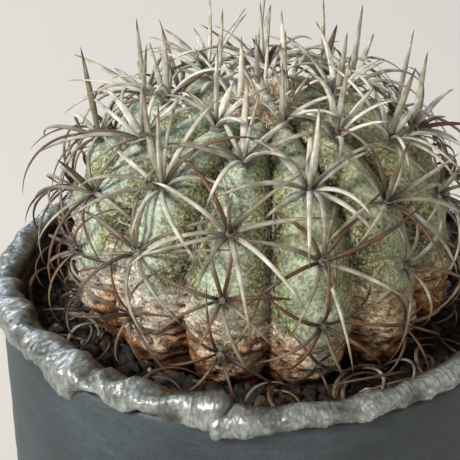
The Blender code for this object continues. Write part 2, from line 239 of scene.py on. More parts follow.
def makeCamera():
    tilt = math.radians(cameraLook["elevation"])
    back = Vector((0, -math.cos(tilt), math.sin(tilt)))
    upward = Vector((0, math.sin(tilt), math.cos(tilt)))
    aim = Vector((cameraLook["aimRight"], 0, stemLook["middle"])) + upward * cameraLook["aimUp"]
    lens = bpy.data.cameras.new("camera")
    lens.lens = cameraLook["lens"]
    lens.clip_start, lens.clip_end = 0.01, 50
    camera = bpy.data.objects.new("camera", lens)
    bpy.context.scene.collection.objects.link(camera)
    camera.location = aim + back * cameraLook["distance"]
    camera.rotation_mode = "QUATERNION"
    camera.rotation_quaternion = (-back).to_track_quat("-Z", "Y")
    bpy.context.scene.camera = camera


lightLook = {
    "key": {"place": (-1.7, -1.5, 1.79), "size": 0.75, "power": 106, "colour": "#fff9f1"},
    "rim": {"place": (-1.25, 1.88, 1.34), "size": 1.25, "power": 31, "colour": "#e6f0ff"},
    "fill": {"place": (2.25, -1.25, 0.96), "size": 2.25, "power": 15, "colour": "#ffe7cc"},
    "world": "#dfe3e8", "worldStrength": 0.33,
}


def makeLights():
    for name in ("key", "rim", "fill"):
        look = lightLook[name]
        data = bpy.data.lights.new(name, "AREA")
        data.shape = "DISK"
        data.size = look["size"]
        data.energy = look["power"]
        data.color = hexColor(look["colour"])[:3]
        lamp = bpy.data.objects.new(name, data)
        bpy.context.scene.collection.objects.link(lamp)
        lamp.location = look["place"]
        aim = Vector((0, 0, stemLook["middle"])) - lamp.location
        lamp.rotation_euler = aim.to_track_quat("-Z", "Y").to_euler()
    world = bpy.data.worlds.new("studio")
    bpy.context.scene.world = world
    world.use_nodes = True
    setUp(world.node_tree, world.node_tree.nodes["Background"],
          {"Color": hexColor(lightLook["world"]), "Strength": lightLook["worldStrength"]})
    bpy.context.scene.view_settings.view_transform = "Standard"


floorLook = {"half": 20.0, "colour": "#cfccc5", "roughness": 0.85}


def makeFloor():
    # matt painted board, pale and plain
    finish, tree, shader, _ = newMaterial("mattPaintedBoard")
    setUp(tree, shader, {"Base Color": hexColor(floorLook["colour"]), "Roughness": floorLook["roughness"]})
    half = floorLook["half"]
    mesh = bpy.data.meshes.new("floor")
    corners = [(-half, -half, 0), (half, -half, 0), (half, half, 0), (-half, half, 0)]
    mesh.from_pydata(corners, [], [(0, 1, 2, 3)])
    mesh.materials.append(finish)
    addPiece("floor", mesh)


# The stem's shape

stemLook = {
    "radius": 50 * mm, "rise": 40 * mm, "drop": 30 * mm, "power": 2.4, "middle": 110 * mm,
    "lean": math.radians(2), "ribs": 13, "turn": math.radians(-11.9), "valley": 0.15,
    "creaseSharpness": 0.62, "chin": 0.9 * mm, "ribWander": 0.035,
    "crownDip": 3 * mm, "rootRadius": 7 * mm, "rootLength": 26 * mm,
    "areoleStep": 5 / 13, "oldestAreole": 5.5,
    # degrees down a rib: where its areoles start, the gap between them, how the gap closes towards the
    # base, and the highest place for one
    "areoleStart": 105.8, "areoleGap": 24.7, "areoleSpread": 2.5, "areoleTop": 86,
}


def smoothRadius(psi):
    # the stem without its ribs, at this angle above the horizon
    height = np.where(psi > 0, stemLook["rise"], stemLook["drop"])
    across = (np.abs(np.cos(psi)) / stemLook["radius"]) ** stemLook["power"]
    upward = (np.abs(np.sin(psi)) / height) ** stemLook["power"]
    return (across + upward) ** (-1 / stemLook["power"])


def areolePsi(age):
    # angle above the horizon of the areole at this many steps down its rib
    turn = stemLook["areoleStart"] - stemLook["areoleGap"] * age + stemLook["areoleSpread"] * (age - 3) ** 2
    turn = np.radians(np.minimum(turn, stemLook["areoleTop"]))
    power = 2 / stemLook["power"]
    across = stemLook["radius"] * np.cos(turn) ** power
    height = np.where(turn > 0, stemLook["rise"], stemLook["drop"])
    return np.arctan2(height * np.sign(turn) * np.abs(np.sin(turn)) ** power, across)


ageTable = np.linspace(0.8, 5.9, 120)
psiTable = areolePsi(ageTable)


def ribPlace(azimuth):
    # which rib, and how far across it, from -0.5 to 0.5 with the crest at 0
    share = (azimuth - stemLook["turn"]) / math.tau * stemLook["ribs"]
    rib = np.round(share)
    return rib.astype(int) % stemLook["ribs"], share - rib


def skinRadius(azimuth, psi):
    # the skin with ribs, chins under the areoles and the crown's dip
    azimuth, psi = np.asarray(azimuth, float), np.asarray(psi, float)
    rib, across = ribPlace(azimuth)
    valley = 1 - np.abs(np.cos(math.pi * across)) ** stemLook["creaseSharpness"]
    # ribs are shallower at the crown and near the soil
    nearSoil = 0.35 + 0.65 * ease(math.radians(-40), math.radians(-8), psi)
    fade = ease(math.radians(88), math.radians(50), psi) * nearSoil
    dip = stemLook["crownDip"] * ease(math.radians(62), math.radians(88), psi)
    age = np.interp(-psi, -psiTable, ageTable)
    step = age - (rib * stemLook["areoleStep"]) % 1
    chin = stemLook["chin"] * np.cos(math.tau * (step - 0.2)) * np.exp(-(across / 0.28) ** 2) * fade
    return smoothRadius(psi) * (1 - stemLook["valley"] * valley * fade) - dip + chin


leanTurn = np.array(Matrix.Rotation(stemLook["lean"], 3, "Y"))
stemMiddle = np.array([0, 0, stemLook["middle"]])


def toWorld(points):
    # from the upright plant about its middle to where it leans in the pot
    return np.asarray(points) @ leanTurn.T + stemMiddle


def sphere(azimuth, psi, rho):
    # points of the upright plant at this azimuth, angle above the horizon and distance from its middle
    return ringPoints(azimuth, rho * np.cos(psi), rho * np.sin(psi))


skinDetail = {
    "columns": 13 * 33, "rows": 222, "top": math.radians(88.5), "bottom": math.radians(-78),
    "lumps": 0.55 * mm, "pores": 0.09 * mm, "corkDepth": 0.95 * mm,
    # where green skin gives way to bark, in degrees above the horizon, with a dip right of the front rib
    "barkEdge": 12, "barkDip": 11, "dipAt": math.radians(14), "dipSpan": math.radians(18),
    # the side towards the key light, where the bark is painted paler: partly sun-bleaching, partly painted
    # light
    "bleachedLitSide": math.radians(-75),
    # the neck and root as shares of the root's radius and depths below the stem
    "rootRings": ((1.0, 0.5 * mm), (0.85, 6 * mm), (0.6, 14 * mm), (0.35, 21 * mm)),
}


def makeStem(finish):
    # rows run from the crown to the buried base, then the neck and the root close it
    share = np.linspace(0, 1, skinDetail["rows"])
    psi = skinDetail["top"] + (skinDetail["bottom"] - skinDetail["top"]) * share
    azimuth = stemLook["turn"] + math.tau * np.arange(skinDetail["columns"]) / skinDetail["columns"]
    psi, azimuth = np.meshgrid(psi, azimuth, indexing="ij")
    flatPsi, flatAzimuth = psi.ravel(), azimuth.ravel()
    plain = sphere(flatAzimuth, flatPsi, smoothRadius(flatPsi))
    wander = stemLook["ribWander"] * latticeNoise(plain, 22 * mm, 3)
    rho = skinRadius(flatAzimuth + wander * ease(0, 0.3, smoothRadius(flatPsi)), flatPsi)
    crest = np.abs(np.cos(math.pi * ribPlace(flatAzimuth + wander)[1])) ** 0.8
    aside = wrapped(flatAzimuth - skinDetail["dipAt"])
    edge = skinDetail["barkEdge"] - skinDetail["barkDip"] * np.exp(-(aside / skinDetail["dipSpan"]) ** 2)
    # the edge wanders, and is higher in the creases
    edge = edge + 8 * latticeNoise(plain, 15 * mm, 5) + 6 * latticeNoise(plain, 5 * mm, 6)
    edge = edge + 6 * (0.6 - crest)
    above = np.degrees(flatPsi) - edge
    cork = ease(0, -12, above)
    weather = ease(9, -36, above)
    # the side towards the key light has paler bark, partly sun-bleached and partly painted light; the other
    # side keeps its tan
    bleach = 0.25 + 0.75 * np.cos(flatAzimuth - skinDetail["bleachedLitSide"])
    bleach = np.clip(bleach + 0.3 * latticeNoise(plain, 12 * mm, 8), 0, 1)
    lumps = latticeNoise(plain, 9 * mm, 11) + 0.5 * latticeNoise(plain, 4 * mm, 12)
    rho = rho + skinDetail["lumps"] * lumps
    rho = rho + skinDetail["pores"] * latticeNoise(plain, 0.9 * mm, 13) * (1 - cork)
    # bark lies in flat flakes, parted by cracks
    layered = plain * np.array([1, 1, 2.4])
    flakes = 0.8 * latticeNoise(layered, 5 * mm, 21)
    flakes = flakes + 0.7 * (1 - 2 * np.abs(latticeNoise(layered, 3.2 * mm, 22)))
    cracks = -np.exp(-(latticeNoise(layered, 4.2 * mm, 23) / 0.12) ** 2)
    fine = latticeNoise(layered, 1.7 * mm, 24)
    rho = rho + skinDetail["corkDepth"] * cork * (flakes + 0.9 * cracks + 0.5 * fine)
    points = toWorld(sphere(flatAzimuth, flatPsi, rho)).reshape(*psi.shape, 3)
    crown = toWorld([[0, 0, stemLook["rise"] - stemLook["crownDip"]]])[0]
    neckZ = stemLook["middle"] - stemLook["drop"]
    rootRows = np.array([ringPoints(azimuth[0], stemLook["rootRadius"] * radius, neckZ - low)
                         for radius, low in skinDetail["rootRings"]])
    fields = {}
    for field, values, onRoot in (("weather", weather, 1), ("crest", crest, 1), ("bleach", bleach, 0),
                                  ("crack", -cracks * cork, 0)):
        rootValues = np.full(rootRows.shape[:2], float(onRoot))
        fields[field] = np.concatenate([values.reshape(psi.shape), rootValues])
    tip = (0, 0, neckZ - stemLook["rootLength"])
    piece = gridMesh("cactusStem", np.concatenate([points, rootRows]), crown, tip, fields=fields)
    dress(piece, finish, "cactus_skin", "cactus_stem")


def waxySkin():
    # waxy cactus epidermis: dull blue-green bloom with pale flecks, olive in the creases and darkened there
    # by painted shade; towards the base it dries to cream scurf, then to rusty bark with dark cracks
    finish, tree, shader, place = newMaterial("waxySkinAndBark")
    weather, crest, crack, bleach = [
        addNode(tree, "ShaderNodeAttribute", {"attribute_name": field}).outputs["Fac"]
        for field in ("weather", "crest", "crack", "bleach")]
    # bloom comes and goes in blotches about 8 mm across
    cloud = addNode(tree, "ShaderNodeTexNoise",
                    {"Scale": 120, "Detail": 6, "Roughness": 0.62, "Vector": place})
    # pits and wax flecks 0.5 to 1 mm across
    fleck = addNode(tree, "ShaderNodeTexNoise",
                    {"Scale": 1250, "Detail": 4, "Roughness": 0.7, "Vector": place})
    bent = addNode(tree, "ShaderNodeVectorMath",
                   {"operation": "MULTIPLY_ADD", 0: fleck.outputs["Color"], 1: (1.2 * mm,) * 3, 2: place})
    # veins of scurf round cells about 2 mm across
    net = addNode(tree, "ShaderNodeTexVoronoi",
                  {"feature": "DISTANCE_TO_EDGE", "Scale": 480, "Vector": bent})
    # bark and cracks come and go in patches about 3 mm across
    patch = addNode(tree, "ShaderNodeTexNoise",
                    {"Scale": 330, "Detail": 5, "Roughness": 0.72, "Vector": place})
    bloomShift = addNode(tree, "ShaderNodeMath", {"operation": "MULTIPLY_ADD", 0: cloud, 1: 1.5, 2: -0.78})
    # crests take the bloom; the creases go dark olive, partly the skin's own colour and partly painted
    # crease shade
    bloomAndCreaseShade = addNode(tree, "ShaderNodeMath", {"operation": "ADD", 0: crest, 1: bloomShift})
    green = addNode(tree, "ShaderNodeValToRGB", {"Fac": bloomAndCreaseShade, "stops": [
        (0.15, "#2c2c12"), (0.42, "#5f612c"), (0.62, "#747f50"), (0.8, "#849a80"), (1.0, "#a9bbaa")]})
    pit = addNode(tree, "ShaderNodeValToRGB",
                  {"Fac": fleck, "stops": [(0.36, "#4f5a40"), (0.48, "#ffffff")]})
    pitted = addNode(tree, "ShaderNodeMix", {**multiplying, 0: 0.75, 6: green, 7: pit})
    waxShare = addNode(tree, "ShaderNodeValToRGB",
                       {"Fac": fleck, "stops": [(0.5, "#000000"), (0.6, "#d0d0d0")]})
    waxed = addNode(tree, "ShaderNodeMix", {**mixing, 0: waxShare, 6: pitted, 7: hexColor("#dde0d0")})
    veinShare = addNode(tree, "ShaderNodeValToRGB",
                        {"Fac": net, "stops": [(0.0, "#8c8c8c"), (0.09, "#000000")]})
    skin = addNode(tree, "ShaderNodeMix", {**mixing, 0: veinShare, 6: waxed, 7: hexColor("#c9c7a9")})
    # scales of bark about 3 mm wide and half as high, parted by fine dark cracks
    flat = addNode(tree, "ShaderNodeMapping", {"Scale": (1, 1, 2.0), "Vector": bent})
    warp = addNode(tree, "ShaderNodeVectorMath",
                   {"operation": "MULTIPLY_ADD", 0: patch.outputs["Color"], 1: (11 * mm,) * 3, 2: flat})
    scales = addNode(tree, "ShaderNodeTexVoronoi",
                     {"feature": "DISTANCE_TO_EDGE", "Scale": 310, "Vector": warp})
    edgeShade = addNode(tree, "ShaderNodeValToRGB", {"Fac": scales, "stops": [
        (0.0, "#3b2415"), (0.035, "#946f4e"), (0.09, "#ffffff")]})
    # grain of the bark about 4 mm long
    bark = addNode(tree, "ShaderNodeTexNoise",
                   {"Scale": 260, "Detail": 9, "Roughness": 0.7, "Distortion": 0.4, "Vector": flat})
    # how far the skin has turned: cream scurf first, then tan and rust, then dark bark
    turned = addNode(tree, "ShaderNodeMath", {"operation": "MULTIPLY_ADD", 0: patch, 1: 0.75, 2: -0.375})
    stage = addNode(tree, "ShaderNodeMath", {"operation": "ADD", "use_clamp": True, 0: weather, 1: turned})
    tan = addNode(tree, "ShaderNodeValToRGB", {"Fac": stage, "stops": [
        (0.14, "#c4c4a6"), (0.34, "#e4d2aa"), (0.54, "#deb883"), (0.72, "#b97a3e"), (0.86, "#86491d"),
        (1.0, "#452712")]})
    pale = addNode(tree, "ShaderNodeValToRGB", {"Fac": stage, "stops": [
        (0.14, "#e4e6dd"), (0.4, "#f2eee4"), (0.62, "#f0e3d2"), (0.8, "#debd9c"), (0.91, "#a86e3e"),
        (1.0, "#5c3319")]})
    # paler bark on the side towards the key light: partly sun-bleaching, partly painted light
    bleachedAndLit = addNode(tree, "ShaderNodeMix", {**mixing, 0: bleach, 6: tan, 7: pale})
    grain = addNode(tree, "ShaderNodeValToRGB", {"Fac": bark, "stops": [
        (0.35, "#4a2d1a"), (0.39, "#a27a52"), (0.43, "#f6efe2"), (0.6, "#ffffff"), (0.74, "#dccbb2")]})
    grained = addNode(tree, "ShaderNodeMix", {**multiplying, 0: 0.65, 6: bleachedAndLit, 7: grain})
    cracked = addNode(tree, "ShaderNodeValToRGB",
                      {"Fac": patch, "stops": [(0.38, "#303030"), (0.58, "#e0e0e0")]})
    scaled = addNode(tree, "ShaderNodeMix", {**multiplying, 0: cracked, 6: grained, 7: edgeShade})
    # hairline splits, where a slow noise crosses its middle value
    slow = addNode(tree, "ShaderNodeTexNoise",
                   {"Scale": 420, "Detail": 2.5, "Roughness": 0.5, "Distortion": 1.1, "Vector": flat})
    hairline = addNode(tree, "ShaderNodeValToRGB", {"Fac": slow, "stops": [
        (0.465, "#ffffff"), (0.49, "#8b6242"), (0.5, "#4a2a16"), (0.51, "#8b6242"), (0.535, "#ffffff")]})
    veined = addNode(tree, "ShaderNodeMix", {**multiplying, 0: 0.8, 6: scaled, 7: hairline})
    split = addNode(tree, "ShaderNodeMix", {**mixing, 0: crack, 6: veined, 7: hexColor("#24160c")})
    barkShare = addNode(tree, "ShaderNodeValToRGB",
                        {"Fac": stage, "stops": [(0.1, "#000000"), (0.22, "#ffffff")]})
    # the side away from the key light has less bloom and a painted warm shade, so its green is warmer
    shaded = addNode(tree, "ShaderNodeMath", {"operation": "MULTIPLY_ADD", 0: bleach, 1: -0.55, 2: 0.55})
    # painted warm shade: the skin away from the key light is tinted yellow, partly its own olive
    skinWithPaintedWarmShade = addNode(tree, "ShaderNodeMix", {**multiplying, 0: shaded, 6: skin, 7: hexColor("#e2d7a2")})
    colour = addNode(tree, "ShaderNodeMix", {**mixing, 0: barkShare, 6: skinWithPaintedWarmShade, 7: split})
    rough = addNode(tree, "ShaderNodeMapRange", {"To Min": 0.5, "To Max": 0.88, "Value": barkShare})
    pitRelief = addNode(tree, "ShaderNodeBump", {"Strength": 0.6, "Distance": 0.25 * mm, "Height": fleck})
    ledge = addNode(tree, "ShaderNodeMath", {"operation": "MULTIPLY", 0: edgeShade, 1: barkShare})
    height = addNode(tree, "ShaderNodeMath", {"operation": "ADD", 0: ledge, 1: bark})
    relief = addNode(tree, "ShaderNodeBump",
                     {"Strength": 0.75, "Distance": 0.45 * mm, "Height": height, "Normal": pitRelief})
    setUp(tree, shader, {"Base Color": colour, "Roughness": rough, "Normal": relief})
    return finish


# Spines

spineLook = {
    "centralLength": 24.5 * mm, "youngLength": 0.74, "centralRadius": 0.98 * mm, "flatness": 0.66,
    "profilePoints": 8, "pathPoints": 15, "pad": 1.6 * mm, "centralRoot": 1.1 * mm,
    "radialRoot": 0.9 * mm, "seed": 11,
    # radial spines by the age of their areole: count, length, radius, rise, fall, sway, tone
    "ages": (1.0, 1.7, 2.4, 3.4, 4.4, 5.4),
    "count": (5, 8, 11, 9, 8, 5),
    "length": (15 * mm, 21 * mm, 27 * mm, 27 * mm, 26 * mm, 21 * mm),
    "radius": (0.92 * mm, 0.84 * mm, 0.7 * mm, 0.57 * mm, 0.47 * mm, 0.4 * mm),
    "rise": (66, 52, 44, 40, 48, 55),
    "fall": (40, 70, 88, 100, 130, 150),
    "sway": (0.5, 0.7, 0.6, 0.6, 0.9, 1.1),
    "tone": (0.1, 0.14, 0.2, 0.38, 0.6, 0.74),
    # how far single spines stray: factors of length, angles and radius, and shifts of tone
    "lengths": (0.72, 1.16), "angles": (0.65, 1.3), "radii": (0.8, 1.15), "tones": (-0.16, 0.14),
    "centralLengths": (0.8, 1.12), "centralRadii": (0.85, 1.1), "centralTones": (-0.1, 0.16),
    # darker ones: how much, and how often while young and when old
    "darker": 0.34, "darkYoung": 0.07, "darkOld": 0.2, "youngUntil": 2.4,
    # the age at which centrals stop, the chance of a later one, and the same for stout radials
    "centralsUntil": 3.35, "lateCentral": 0.2, "stoutUntil": 2.7, "stoutChance": 0.28,
    # room that a spine keeps off the skin, off the rim's top and off the pot's outside
    "skinGap": 0.8 * mm, "rimGap": 2 * mm, "wallGap": 9.5 * mm,
}
fallenLook = {
    "count": 105, "reach": (50 * mm, 59 * mm), "hoop": (6 * mm, 13 * mm), "radius": (0.38, 0.55),
    "lie": 0.7 * mm, "span": (80, 215), "tilt": (8, 50), "tone": (0.3, 0.95),
    "allRound": 0.45, "front": (-1.5, 1.1), "skinGap": 0.6 * mm, "wallGap": 7.5 * mm, "seed": 23,
}


def areoles():
    # rib, azimuth, psi and age of every areole, on a 5-in-13 spiral
    for rib in range(stemLook["ribs"]):
        phase = (rib * stemLook["areoleStep"]) % 1
        azimuth = stemLook["turn"] + math.tau * rib / stemLook["ribs"]
        for number in range(5):
            age = 1 + phase + number
            if age < stemLook["oldestAreole"]:
                yield rib, azimuth, float(areolePsi(age)), age


def areoleFrame(azimuth, psi):
    # an areole's place on its crest, and its directions off, up and along the skin
    step = math.radians(2)
    angles = np.array([psi, psi + step, psi - step])
    point, above, below = sphere(np.full(3, azimuth), angles, skinRadius(np.full(3, azimuth), angles))
    upward = (above - below) / np.linalg.norm(above - below)
    side = np.array([math.cos(azimuth), math.sin(azimuth), 0])
    outward = np.cross(side, upward)
    if outward @ point < 0:
        outward = -outward
    return point, outward, upward, side


def clearance(points):
    # how far points stand off the skin
    rho = np.linalg.norm(points, axis=1)
    psi = np.arctan2(points[:, 2], np.hypot(points[:, 0], points[:, 1]))
    return rho - skinRadius(np.arctan2(points[:, 0], -points[:, 1]), psi)


def bentPath(root, along, outward, side, length, rise, fall, sway, count):
    # a spine that leaves at angle rise above the skin, and curves over by fall and sideways by sway
    share = (np.arange(count - 1) + 0.5) / (count - 1)
    angle = rise - fall * share
    drift = sway * share
    heading = np.outer(np.cos(angle) * np.cos(drift), along) + np.outer(np.sin(angle), outward)
    heading += np.outer(np.cos(angle) * np.sin(drift), side)
    steps = heading * (length / (count - 1))
    return np.vstack([root, root + np.cumsum(steps, axis=0)])


def growCluster(wires, age, azimuth, psi, chance):
    # adds one areole's spines to wires as (points, radius, facing, tone, whether central)
    point, outward, upward, side = areoleFrame(azimuth, psi)
    by = {key: float(np.interp(age, spineLook["ages"], spineLook[key]))
          for key in ("count", "length", "radius", "rise", "fall", "sway", "tone")}
    skyward = np.array([0, 0, 1.0])
    if age < spineLook["centralsUntil"] or chance.random() < spineLook["lateCentral"]:
        late = float(ease(2.6, 3.4, age))
        lean = outward * (1.0 + 0.7 * late) + skyward * (1.35 - 0.9 * late)
        lean += side * chance.uniform(-0.3, 0.3) + upward * chance.uniform(-0.2, 0.3)
        lean /= np.linalg.norm(lean)
        grown = spineLook["youngLength"] + (1 - spineLook["youngLength"]) * float(ease(1.3, 2.1, age))
        length = spineLook["centralLength"] * chance.uniform(*spineLook["centralLengths"])
        length *= grown * (1 - 0.35 * late)
        bend, sway = chance.uniform(-0.2, 0.2), chance.uniform(-0.22, 0.22)
        root = point + outward * spineLook["centralRoot"]
        path = bentPath(root, lean, np.cross(lean, side), side, length, 0, bend, sway,
                        spineLook["pathPoints"] - 1)
        thick = spineLook["centralRadius"] * chance.uniform(*spineLook["centralRadii"]) * (1 - 0.3 * late)
        wires.append((path, thick, side, by["tone"] + chance.uniform(*spineLook["centralTones"]), 1))
    count = round(by["count"] + chance.uniform(-0.7, 0.7))
    offset = chance.uniform(-0.25, 0.25)
    for place in range(count):
        turn = math.tau * (place + 0.5) / count + offset + chance.uniform(-0.22, 0.22)
        along = upward * math.cos(turn) + side * math.sin(turn)
        across = np.cross(outward, along)
        length = by["length"] * chance.uniform(*spineLook["lengths"])
        rise = math.radians(by["rise"] * chance.uniform(*spineLook["angles"]))
        fall = math.radians(by["fall"] * chance.uniform(*spineLook["angles"]))
        sway = by["sway"] * chance.uniform(-1, 1)
        thick = by["radius"] * chance.uniform(*spineLook["radii"])
        if age < spineLook["stoutUntil"] and chance.random() < spineLook["stoutChance"]:
            # a stout, nearly straight one among the radials
            thick, length, fall, sway = thick * 1.35, length * 0.82, fall * 0.35, sway * 0.4
        start = point + outward * spineLook["radialRoot"] + along * spineLook["pad"] * 0.5
        # it rises more, then bends less, until it clears the skin
        for attempt in range(16):
            path = bentPath(start, along, outward, across, length, rise, fall, sway,
                            spineLook["pathPoints"])
            if clearance(path)[2:].min() > spineLook["skinGap"]:
                break
            rise += math.radians(4.5 if rise < 1.35 else 0)
            fall -= math.radians(0 if attempt < 7 else 6)
        # it shortens until it clears the rim and the grit, or is left out
        for _ in range(6):
            world = toWorld(path)
            reach = np.hypot(world[:, 0], world[:, 1])
            low = world[:, 2] < rimHigh.z + spineLook["rimGap"]
            atRim = low & (reach > potHigh.x - spineLook["wallGap"])
            if not atRim.any() and world[:, 2].min() > gritHigh.z:
                break
            length *= 0.82
            rise += 0.12
            path = bentPath(start, along, outward, across, length, rise, fall, sway,
                            spineLook["pathPoints"])
        else:
            continue
        darkShare = spineLook["darkYoung"] if age < spineLook["youngUntil"] else spineLook["darkOld"]
        darker = spineLook["darker"] if chance.random() < darkShare else 0
        tone = by["tone"] + chance.uniform(*spineLook["tones"]) + darker
        wires.append((path, thick, outward, tone, 0))


def spineTree(finish):
    # wires to tapered, slightly flattened spines
    tree, entry = newTree("spinesFromWires", {"Flatness": "Float", "Profile Points": "Int"})
    curve = addNode(tree, "GeometryNodeMeshToCurve", {"Mesh": entry["Geometry"]})
    facing = addNode(tree, "GeometryNodeInputNamedAttribute",
                     {"data_type": "FLOAT_VECTOR", "Name": "skinward"})
    thick = addNode(tree, "GeometryNodeInputNamedAttribute", {"data_type": "FLOAT", "Name": "thick"})
    turned = addNode(tree, "GeometryNodeSetCurveNormal",
                     {"mode": "FREE", "Curve": curve, "Normal": facing.outputs["Attribute"]})
    circle = addNode(tree, "GeometryNodeCurvePrimitiveCircle",
                     {"Radius": 1.0, "Resolution": entry["Profile Points"]})
    flat = addNode(tree, "ShaderNodeCombineXYZ", {"X": entry["Flatness"], "Y": 1.0, "Z": 1.0})
    oval = addNode(tree, "GeometryNodeTransform", {"Geometry": circle, "Scale": flat})
    corner = addNode(tree, "GeometryNodeInputPosition")
    # the horn's cracks read the place on the section
    marked = addNode(tree, "GeometryNodeStoreNamedAttribute",
                     {"data_type": "FLOAT_VECTOR", "Name": "section", "Geometry": oval, "Value": corner})
    body = addNode(tree, "GeometryNodeCurveToMesh",
                   {"Fill Caps": True, "Curve": turned, "Profile Curve": marked,
                    "Scale": thick.outputs["Attribute"]})
    smooth = addNode(tree, "GeometryNodeSetShadeSmooth", {"Geometry": body})
    return endTree(tree, smooth, finish)


def wireObject(name, wires):
    # open wires as one edge mesh, with the fields that the spine tree and the horn material read
    points, edges, thick, skinward, along, tones = [], [], [], [], [], []
    for path, radius, outward, tone, central in wires:
        count = len(path)
        share = np.linspace(0, 1, count)
        base = len(points)
        points += toWorld(path).tolist()
        edges += [(base + step, base + step + 1) for step in range(count - 1)]
        # centrals are narrower at the foot than a third of the way up
        waist = 0.62 + 0.38 * ease(0, 0.42, share) if central else 0.74 + 0.26 * ease(0, 0.2, share)
        size = radius * waist * (1 - share ** 2.3) ** 0.85 + 0.03 * mm
        thick += size.tolist()
        skinward += [(leanTurn @ outward).tolist()] * count
        along += share.tolist()
        tones += [tone] * count
    mesh = bpy.data.meshes.new(name)
    mesh.from_pydata(points, edges, [])
    for field, values in (("thick", thick), ("along", along), ("tone", tones)):
        mesh.attributes.new(field, "FLOAT", "POINT").data.foreach_set("value", np.array(values, np.float32))
    facing = mesh.attributes.new("skinward", "FLOAT_VECTOR", "POINT")
    facing.data.foreach_set("vector", np.array(skinward, np.float32).ravel())
    return addPiece(name, mesh)


def makeSpines(finish):
    tree = spineTree(finish)
    chance = random.Random(spineLook["seed"])
    byRib = {}
    for rib, azimuth, psi, age in areoles():
        growCluster(byRib.setdefault(rib, []), age, azimuth, psi, chance)
    inputs = {"Flatness": spineLook["flatness"], "Profile Points": spineLook["profilePoints"]}
    for rib, wires in byRib.items():
        name = f"spinesRib{rib + 1:02d}"
        piece = runTree(name, wireObject(name + "Wires", wires), tree, inputs)
        dress(piece, None, "spine", *[f"spines_rib{rib + 1:02d}_{number}" for number in range(1, 5)])
    makeFallen(tree, inputs)


def makeFallen(tree, inputs):
    # old spines shed round the stem: bent hoops lying on the grit and leaning on the base
    chance = random.Random(fallenLook["seed"])
    wires = []
    for _ in range(fallenLook["count"]):
        allRound = chance.random() < fallenLook["allRound"]
        azimuth = chance.uniform(-math.pi, math.pi) if allRound else chance.uniform(*fallenLook["front"])
        middle = ringPoints(azimuth, chance.uniform(*fallenLook["reach"]), gritHigh.z)
        hoop = chance.uniform(*fallenLook["hoop"])
        span = math.radians(chance.uniform(*fallenLook["span"]))
        heading, tilt = chance.uniform(0, math.tau), math.radians(chance.uniform(*fallenLook["tilt"]))
        ahead = np.array([math.cos(heading), math.sin(heading), 0])
        level = np.array([-math.sin(heading), math.cos(heading), 0])
        across = level * math.cos(tilt) + np.array([0, 0, math.sin(tilt)])
        angle = np.linspace(-span / 2, span / 2, 16)[:, None]
        path = middle + hoop * (np.sin(angle) * ahead + np.cos(angle) * across)
        path[:, 2] += gritHigh.z + fallenLook["lie"] - path[:, 2].min()
        away = np.hypot(path[:, 0], path[:, 1]).max()
        local = (path - stemMiddle) @ leanTurn
        if away > potHigh.x - fallenLook["wallGap"] or clearance(local).min() < fallenLook["skinGap"]:
            continue
        tone = chance.uniform(*fallenLook["tone"])
        wires.append((local, chance.uniform(*fallenLook["radius"]) * mm, np.array([0, 0, 1.0]), tone, 0))
    piece = runTree("fallenSpines", wireObject("fallenWires", wires), tree, inputs)
    dress(piece, None, "spine")


def weatheredHorn():
    # spine horn: chalky ivory when young, grey-brown then rusty and charcoal with age, with fine lengthwise
    # cracks and a dark hard tip
    finish, tree, shader, place = newMaterial("weatheredHorn")
    tone, along = [addNode(tree, "ShaderNodeAttribute", {"attribute_name": field}).outputs["Fac"]
                   for field in ("tone", "along")]
    section = addNode(tree, "ShaderNodeAttribute", {"attribute_name": "section"}).outputs["Vector"]
    # blotches about 5 mm long
    blotch = addNode(tree, "ShaderNodeTexNoise",
                     {"Scale": 210, "Detail": 4, "Roughness": 0.6, "Vector": place})
    shifted = addNode(tree, "ShaderNodeMath", {"operation": "MULTIPLY_ADD", 0: blotch, 1: 0.8, 2: -0.4})
    worn = addNode(tree, "ShaderNodeMath", {"operation": "ADD", "use_clamp": True, 0: tone, 1: shifted})
    horn = addNode(tree, "ShaderNodeValToRGB", {"Fac": worn, "stops": [
        (0.0, "#e8e9e4"), (0.16, "#c2c3ba"), (0.32, "#939181"), (0.48, "#776c59"), (0.62, "#6a4f38"),
        (0.76, "#5c3a2a"), (0.88, "#463d37"), (1.0, "#2e2926")]})
    ends = addNode(tree, "ShaderNodeValToRGB", {"Fac": along, "stops": [
        (0.0, "#5c564f"), (0.1, "#c9c4ba"), (0.3, "#ffffff"), (0.8, "#fff8ea"), (0.93, "#8e6d50"),
        (1.0, "#382920")]})
    both = addNode(tree, "ShaderNodeMix", {**multiplying, 0: 0.92, 6: horn, 7: ends})
    # cracks about 0.3 mm apart round the spine and 6 mm long
    shift = addNode(tree, "ShaderNodeCombineXYZ", {"X": 0.0, "Y": 0.0, "Z": along})
    run = addNode(tree, "ShaderNodeVectorMath",
                  {"operation": "MULTIPLY_ADD", 0: section, 1: (3.2, 3.2, 1.0), 2: shift})
    spread = addNode(tree, "ShaderNodeVectorMath",
                     {"operation": "MULTIPLY_ADD", 0: place, 1: (60, 60, 60), 2: run})
    grain = addNode(tree, "ShaderNodeTexNoise",
                    {"Scale": 2.2, "Detail": 4, "Roughness": 0.7, "Vector": spread})
    streak = addNode(tree, "ShaderNodeValToRGB",
                     {"Fac": grain, "stops": [(0.38, "#6f6656"), (0.52, "#ffffff")]})
    colour = addNode(tree, "ShaderNodeMix", {**multiplying, 0: 0.85, 6: both, 7: streak})
    bump = addNode(tree, "ShaderNodeBump", {"Strength": 0.5, "Distance": 0.15 * mm, "Height": grain})
    setUp(tree, shader, {"Base Color": colour, "Roughness": 0.46, "Normal": bump})
    return finish


# Felt pads and the crown's wool, furred by one tree

